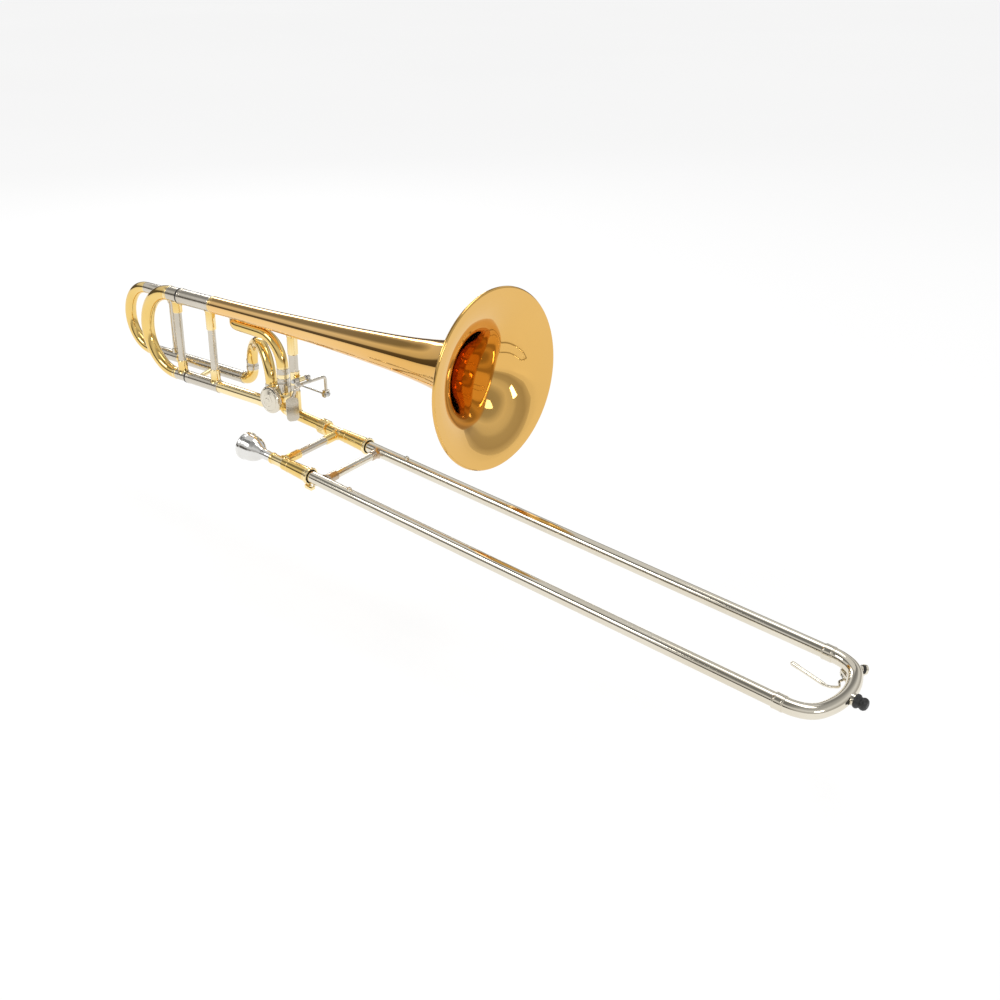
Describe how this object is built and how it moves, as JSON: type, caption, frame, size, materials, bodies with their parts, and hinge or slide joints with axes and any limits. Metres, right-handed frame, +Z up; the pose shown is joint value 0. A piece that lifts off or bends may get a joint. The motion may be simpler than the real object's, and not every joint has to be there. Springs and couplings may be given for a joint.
{
  "type": "trombone",
  "caption": "Tenor trombone with an F attachment: flared bell, rotary valve with thumb trigger, two tuning slides, a hand slide with water key, and a mouthpiece.",
  "frame": {"origin": "centre of the bell rim plane", "axes": "+X out of the bell along its axis, +Z up with the instrument held level, +Y towards the player's left, where the F attachment hangs"},
  "size_m": [1.2817, 0.2298, 0.329],
  "materials": {
    "gold_lacquer": "clear lacquered gold brass",
    "yellow_lacquer": "clear lacquered yellow brass",
    "nickel_silver": "lacquered nickel silver",
    "nickel_plate": "bright nickel plate",
    "silver_plate": "bright silver plate",
    "copper_brass": "red brass, lacquered",
    "steel": "machined",
    "black_rubber": "moulded",
    "cork": null,
    "black_cork": "dense synthetic pad"
  },
  "bodies": {
    "bell_section": {"bell": "gold_lacquer", "bell_stem": "gold_lacquer", "bell_rim_wire": "gold_lacquer", "main_slide_sleeves": "nickel_silver", "main_lower_tube": "yellow_lacquer", "brace_tubes": "nickel_silver", "brace_sockets": "yellow_lacquer", "leg_braces": "yellow_lacquer", "f_slide_sleeves": "nickel_silver", "f_return_tubing": "yellow_lacquer", "f_outer_branch": "yellow_lacquer", "f_ferrules": "nickel_silver", "valve_casing": "yellow_lacquer", "valve_knuckles": "yellow_lacquer", "bearing_plates": "nickel_silver", "valve_cap": "nickel_silver", "stop_plate": "yellow_lacquer", "stop_bumpers": "black_cork", "neckpipe": "yellow_lacquer", "lever_bracket": "yellow_lacquer", "lever_hinge_pin": "steel", "lever_spring": "steel"},
    "lock_nut": {"bell_lock_nut": "yellow_lacquer"},
    "main_tuning_slide": {"main_tuning_crook": "yellow_lacquer", "main_inner_legs": "nickel_silver", "rear_brace_tube": "nickel_silver", "rear_brace_sockets": "yellow_lacquer"},
    "f_tuning_slide": {"f_tuning_crook": "yellow_lacquer", "f_inner_legs": "nickel_silver", "f_slide_brace": "nickel_silver"},
    "valve_rotor": {"rotor": "steel", "stop_arm": "yellow_lacquer", "stop_arm_screw": "steel"},
    "thumb_trigger": {"thumb_lever": "yellow_lacquer", "thumb_paddle": "nickel_silver", "ball_pin": "steel"},
    "link": {"link_rod": "steel"},
    "inner_slide": {"bell_receiver": "yellow_lacquer", "cork_barrels": "yellow_lacquer", "barrel_corks": "cork", "mouthpiece_receiver": "yellow_lacquer", "leadpipe": "nickel_silver", "inner_slide_tubes": "nickel_plate", "inner_brace_tube": "nickel_silver", "inner_brace_sockets": "yellow_lacquer"},
    "outer_slide": {"outer_slide_tubes": "nickel_plate", "outer_brace_tube": "nickel_plate", "outer_brace_sockets": "copper_brass", "slide_studs": "nickel_plate", "slide_bow": "nickel_plate", "bow_ferrules": "nickel_plate", "bow_fittings": "nickel_plate", "rubber_bumper": "black_rubber", "water_key_saddle": "yellow_lacquer", "water_key_screw": "steel", "water_key_spring": "steel"},
    "slide_lock": {"slide_lock_ring": "yellow_lacquer"},
    "water_key": {"water_key_lever": "nickel_plate", "water_key_cork": "black_cork"},
    "mouthpiece_body": {"mouthpiece": "silver_plate"}
  },
  "joints": [
    {"name": "lock_nut_turn", "type": "hinge", "parent": "bell_section", "child": "lock_nut", "pos_m": [-0.299, 0, -0.12972], "axis": [0.9956, 0, -0.0936], "range_deg": [0, 360]},
    {"name": "main_tuning", "type": "slide", "parent": "bell_section", "child": "main_tuning_slide", "axis": [-1, 0, 0], "range_m": [0, 0.07]},
    {"name": "f_tuning", "type": "slide", "parent": "bell_section", "child": "f_tuning_slide", "axis": [-1, 0, 0], "range_m": [0, 0.06]},
    {"name": "trigger", "type": "hinge", "parent": "bell_section", "child": "thumb_trigger", "pos_m": [-0.341, 0, -0.072], "axis": [0, -1, 0], "range_deg": [0, 29.89], "stiffness_Nm_per_rad": 0.15, "springref_deg": -25},
    {"name": "rotor_turn", "type": "hinge", "parent": "bell_section", "child": "valve_rotor", "pos_m": [-0.388, 0, -0.1077], "axis": [0, 1, 0], "range_deg": [0, 90.1]},
    {"name": "link_turn", "type": "hinge", "parent": "thumb_trigger", "child": "link", "pos_m": [-0.336, 0.04, -0.103], "axis": [0, -1, 0], "range_deg": [-23.72, 0]},
    {"name": "slide_angle", "type": "hinge", "parent": "bell_section", "child": "inner_slide", "pos_m": [-0.29502, 0, -0.13009], "axis": [0.9956, 0, -0.0936], "range_deg": [-25, 25]},
    {"name": "hand_slide", "type": "slide", "parent": "inner_slide", "child": "outer_slide", "axis": [0.9956, 0, -0.0936], "range_m": [0, 0.6]},
    {"name": "slide_lock_turn", "type": "hinge", "parent": "inner_slide", "child": "slide_lock", "pos_m": [-0.21927, -0.10153, -0.14709], "axis": [0.9956, 0, -0.0936], "range_deg": [0, 20]},
    {"name": "water_key_turn", "type": "hinge", "parent": "outer_slide", "child": "water_key", "pos_m": [0.46859, -0.00981, -0.21453], "axis": [-0.8002, 0.585, 0.1321], "range_deg": [0, 16], "stiffness_Nm_per_rad": 0.05, "springref_deg": -20},
    {"name": "mouthpiece_pull", "type": "slide", "parent": "inner_slide", "child": "mouthpiece_body", "axis": [-0.9956, 0, 0.0936], "range_m": [0, 0.09]}
  ],
  "couplings": [
    {"joint": "rotor_turn", "follows": "trigger", "ratio": 3.011},
    {"joint": "link_turn", "follows": "trigger", "ratio": -0.78676}
  ]
}
